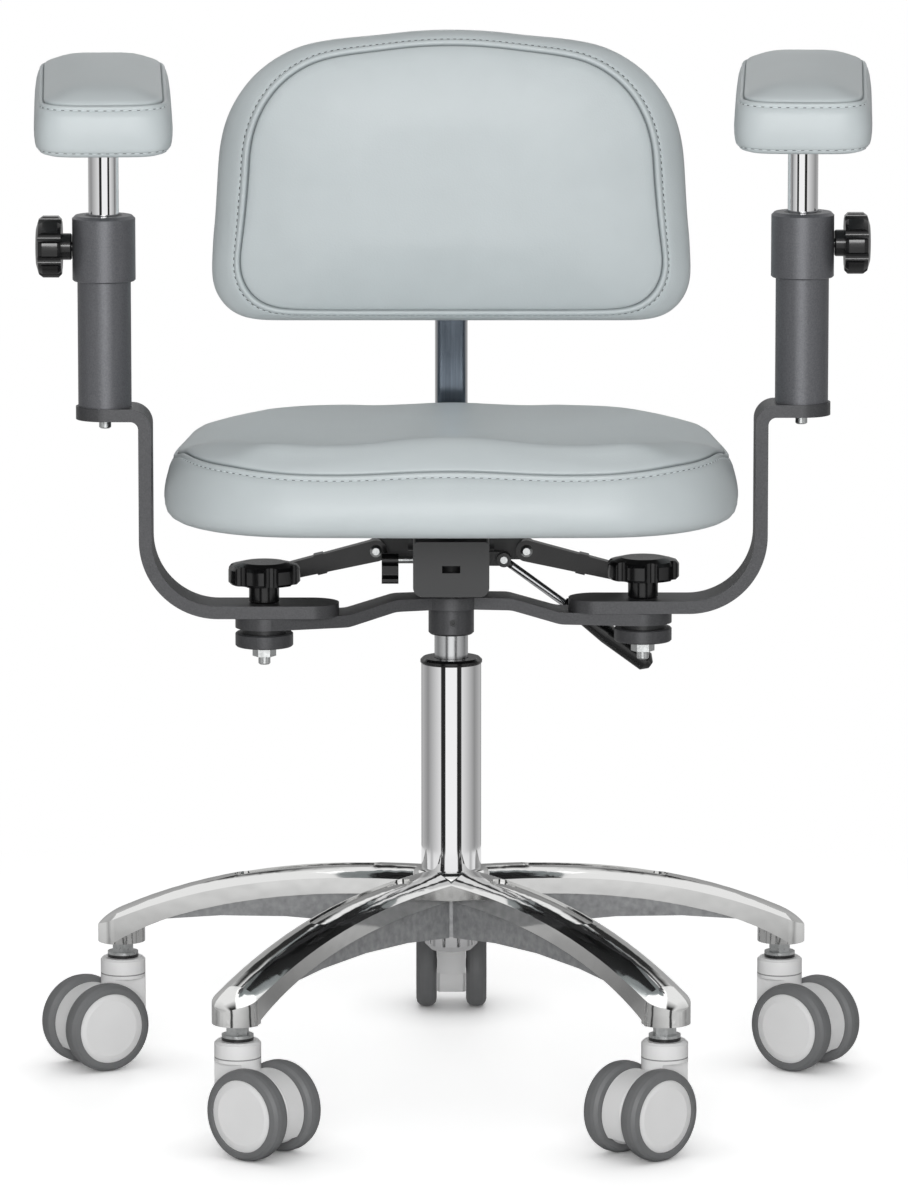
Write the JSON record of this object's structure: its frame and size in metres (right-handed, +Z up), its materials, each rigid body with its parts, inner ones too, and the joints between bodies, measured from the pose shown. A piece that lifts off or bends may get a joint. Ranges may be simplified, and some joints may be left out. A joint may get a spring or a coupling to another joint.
{
  "type": "laboratory chair",
  "caption": "Height-adjustable swivel laboratory chair with saddle-shaped padded seat, padded back, adjustable arm supports and twin-wheel casters on a polished star base.",
  "frame": {"origin": "on the floor under the column axis", "axes": "+Z up along the column, the sitter faces -Y, +X to the right in the picture"},
  "size_m": [0.6997, 0.6597, 0.8739],
  "materials": {
    "polished_aluminium": "polished casting, rough cast undersides",
    "chrome": "bright chrome",
    "dark_powder_coat": "fine textured powder coat",
    "mechanism_black": "satin black paint",
    "black_plastic": "glossy moulded plastic",
    "caster_plastic": "satin pale grey plastic",
    "caster_tyre": "matt grey soft tread",
    "zinc": "bright zinc",
    "dark_plastic": "matt dark plastic",
    "upholstery": "smooth pale blue-grey leatherette over foam"
  },
  "bodies": {
    "base": {"star_base": "polished_aluminium", "column_tube": "chrome", "column_ring": "black_plastic", "column_foot": "zinc", "thrust_bearing": "zinc", "caster_stems": "zinc"},
    "piston": {"piston_rod": "zinc"},
    "column": {"gas_cylinder": "chrome", "mechanism_housing": "mechanism_black", "mechanism_cover": "mechanism_black", "mechanism_pins": "zinc", "yoke": "dark_powder_coat", "yoke_screw": "zinc", "pivot_discs": "dark_powder_coat", "pivot_bolts": "zinc", "friction_washers": "dark_plastic"},
    "lift_lever": {"lift_rod": "chrome", "lift_grip": "black_plastic"},
    "left_lever": {"left_lever": "black_plastic"},
    "right_lever": {"right_lever": "black_plastic"},
    "tilt_hook": {"tilt_hook": "black_plastic"},
    "seat": {"seat_plate": "mechanism_black", "seat_shell": "dark_plastic", "seat_cushion": "upholstery"},
    "back_bar": {"back_bar": "chrome"},
    "backrest": {"back_bracket": "mechanism_black", "back_shell": "dark_plastic", "back_cushion": "upholstery"},
    "back_knob": {"back_knob": "black_plastic"},
    "left_pivot_knob": {"left_pivot_knob": "black_plastic"},
    "left_arm": {"left_arm_bar": "dark_powder_coat", "left_arm_sleeve": "dark_powder_coat", "left_sleeve_bolt": "zinc"},
    "left_liner": {"left_clamp_bush": "dark_plastic"},
    "left_pad": {"left_arm_post": "chrome", "left_arm_pad": "upholstery"},
    "left_clamp_knob": {"left_clamp_knob": "black_plastic"},
    "right_pivot_knob": {"right_pivot_knob": "black_plastic"},
    "right_arm": {"right_arm_bar": "dark_powder_coat", "right_arm_sleeve": "dark_powder_coat", "right_sleeve_bolt": "zinc"},
    "right_liner": {"right_clamp_bush": "dark_plastic"},
    "right_pad": {"right_arm_post": "chrome", "right_arm_pad": "upholstery"},
    "right_clamp_knob": {"right_clamp_knob": "black_plastic"},
    "caster_1": {"caster_1_housing": "caster_plastic"},
    "caster_1_wheels": {"caster_1_wheels": "caster_plastic", "caster_1_tyres": "caster_tyre"},
    "caster_2": {"caster_2_housing": "caster_plastic"},
    "caster_2_wheels": {"caster_2_wheels": "caster_plastic", "caster_2_tyres": "caster_tyre"},
    "caster_3": {"caster_3_housing": "caster_plastic"},
    "caster_3_wheels": {"caster_3_wheels": "caster_plastic", "caster_3_tyres": "caster_tyre"},
    "caster_4": {"caster_4_housing": "caster_plastic"},
    "caster_4_wheels": {"caster_4_wheels": "caster_plastic", "caster_4_tyres": "caster_tyre"},
    "caster_5": {"caster_5_housing": "caster_plastic"},
    "caster_5_wheels": {"caster_5_wheels": "caster_plastic", "caster_5_tyres": "caster_tyre"}
  },
  "joints": [
    {"name": "seat_swivel", "type": "hinge", "parent": "base", "child": "piston", "pos_m": [0, 0, 0.16], "axis": [0, 0, 1], "continuous": true},
    {"name": "height_adjust", "type": "slide", "parent": "piston", "child": "column", "axis": [0, 0, 1], "range_m": [0, 0.12]},
    {"name": "lift_release", "type": "hinge", "parent": "column", "child": "lift_lever", "pos_m": [0.044, 0.026, 0.444], "axis": [0, -1, 0], "range_deg": [0, 8], "stiffness_Nm_per_rad": 2, "springref_deg": -5.73},
    {"name": "left_lever_turn", "type": "hinge", "parent": "column", "child": "left_lever", "pos_m": [-0.063, 0.04, 0.45], "axis": [0, 1, 0], "range_deg": [-6, 6]},
    {"name": "right_lever_turn", "type": "hinge", "parent": "column", "child": "right_lever", "pos_m": [0.063, 0.04, 0.45], "axis": [0, -1, 0], "range_deg": [-6, 6]},
    {"name": "tilt_hook_swing", "type": "hinge", "parent": "column", "child": "tilt_hook", "pos_m": [-0.051, 0.012, 0.446], "axis": [1, 0, 0], "range_deg": [-15, 15]},
    {"name": "seat_tilt", "type": "hinge", "parent": "column", "child": "seat", "pos_m": [0, 0.025, 0.462], "axis": [1, 0, 0], "range_deg": [-4, 4]},
    {"name": "back_tilt", "type": "hinge", "parent": "column", "child": "back_bar", "pos_m": [0, 0.095, 0.44], "axis": [-1, 0, 0], "range_deg": [-4, 14]},
    {"name": "back_height", "type": "slide", "parent": "back_bar", "child": "backrest", "axis": [0, 0, 1], "range_m": [-0.04, 0.03]},
    {"name": "back_knob_turn", "type": "hinge", "parent": "backrest", "child": "back_knob", "pos_m": [0, 0.255, 0.74], "axis": [0, 1, 0], "range_deg": [-180, 180]},
    {"name": "left_pivot_knob_turn", "type": "hinge", "parent": "column", "child": "left_pivot_knob", "pos_m": [-0.15489, -0.0401, 0.44], "axis": [0, 0, 1], "range_deg": [-180, 180]},
    {"name": "left_arm_swing", "type": "hinge", "parent": "column", "child": "left_arm", "pos_m": [-0.15489, -0.0401, 0.413], "axis": [0, 0, 1], "range_deg": [-8, 8]},
    {"name": "left_pad_turn", "type": "hinge", "parent": "left_arm", "child": "left_liner", "pos_m": [-0.28549, -0.0401, 0.67], "axis": [0, 0, 1], "range_deg": [-30, 30]},
    {"name": "left_pad_height", "type": "slide", "parent": "left_liner", "child": "left_pad", "axis": [0, 0, 1], "range_m": [-0.045, 0.05]},
    {"name": "left_clamp_knob_turn", "type": "hinge", "parent": "left_arm", "child": "left_clamp_knob", "pos_m": [-0.32549, -0.0401, 0.7148], "axis": [-1, 0, 0], "range_deg": [-180, 180]},
    {"name": "right_pivot_knob_turn", "type": "hinge", "parent": "column", "child": "right_pivot_knob", "pos_m": [0.15941, -0.01371, 0.44], "axis": [0, 0, 1], "range_deg": [-180, 180]},
    {"name": "right_arm_swing", "type": "hinge", "parent": "column", "child": "right_arm", "pos_m": [0.15941, -0.01371, 0.413], "axis": [0, 0, 1], "range_deg": [-8, 8]},
    {"name": "right_pad_turn", "type": "hinge", "parent": "right_arm", "child": "right_liner", "pos_m": [0.29001, -0.01371, 0.67], "axis": [0, 0, 1], "range_deg": [-30, 30]},
    {"name": "right_pad_height", "type": "slide", "parent": "right_liner", "child": "right_pad", "axis": [0, 0, 1], "range_m": [-0.045, 0.05]},
    {"name": "right_clamp_knob_turn", "type": "hinge", "parent": "right_arm", "child": "right_clamp_knob", "pos_m": [0.33001, -0.01371, 0.7148], "axis": [1, 0, 0], "range_deg": [-180, 180]},
    {"name": "caster_1_swivel", "type": "hinge", "parent": "base", "child": "caster_1", "pos_m": [0, 0.294, 0.075], "axis": [0, 0, 1], "continuous": true},
    {"name": "caster_1_roll", "type": "hinge", "parent": "caster_1", "child": "caster_1_wheels", "pos_m": [0, 0.321, 0.0375], "axis": [-1, 0, 0], "continuous": true},
    {"name": "caster_2_swivel", "type": "hinge", "parent": "base", "child": "caster_2", "pos_m": [-0.27961, 0.09085, 0.075], "axis": [0, 0, 1], "continuous": true},
    {"name": "caster_2_roll", "type": "hinge", "parent": "caster_2", "child": "caster_2_wheels", "pos_m": [-0.30299, 0.07735, 0.0375], "axis": [0.5, -0.866, 0], "continuous": true},
    {"name": "caster_3_swivel", "type": "hinge", "parent": "base", "child": "caster_3", "pos_m": [-0.17281, -0.23785, 0.075], "axis": [0, 0, 1], "continuous": true},
    {"name": "caster_3_roll", "type": "hinge", "parent": "caster_3", "child": "caster_3_wheels", "pos_m": [-0.15125, -0.2541, 0.0375], "axis": [0.6018, 0.7986, 0], "continuous": true},
    {"name": "caster_4_swivel", "type": "hinge", "parent": "base", "child": "caster_4", "pos_m": [0.17281, -0.23785, 0.075], "axis": [0, 0, 1], "continuous": true},
    {"name": "caster_4_roll", "type": "hinge", "parent": "caster_4", "child": "caster_4_wheels", "pos_m": [0.15274, -0.25592, 0.0375], "axis": [0.6691, -0.7431, 0], "continuous": true},
    {"name": "caster_5_swivel", "type": "hinge", "parent": "base", "child": "caster_5", "pos_m": [0.27961, 0.09085, 0.075], "axis": [0, 0, 1], "continuous": true},
    {"name": "caster_5_roll", "type": "hinge", "parent": "caster_5", "child": "caster_5_wheels", "pos_m": [0.30145, 0.07498, 0.0375], "axis": [0.5878, 0.809, 0], "continuous": true}
  ]
}
